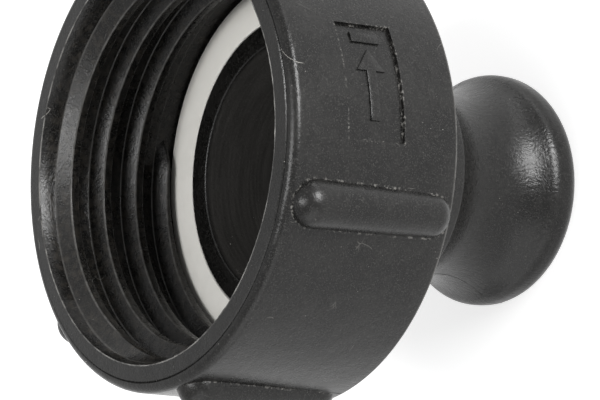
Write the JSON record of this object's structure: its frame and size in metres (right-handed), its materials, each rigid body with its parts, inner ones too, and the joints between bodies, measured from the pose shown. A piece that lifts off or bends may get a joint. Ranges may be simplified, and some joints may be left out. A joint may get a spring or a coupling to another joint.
{
  "type": "ibc tap adapter",
  "caption": "Moulded plastic pipe adapter: a wide female thread with half-round grip bars and a flat gasket at one end, a grooved lever-coupling spigot at the other.",
  "frame": {"origin": "centre of the spigot's end ring, on which the part stands", "axes": "+Z along the axis of the thread and the bore, from the spigot's end to the threaded mouth; +X through the grip bar that the mould's parting line runs over; +Y through the middle of the sunk panel"},
  "size_m": [0.0754, 0.072, 0.07],
  "materials": {
    "black_polypropylene": "satin, finely mottled from the mould",
    "white_seal": "matt, slightly chalky"
  },
  "bodies": {
    "root": {"adapter_body": "black_polypropylene", "flat_gasket": "white_seal"}
  },
  "joints": []
}
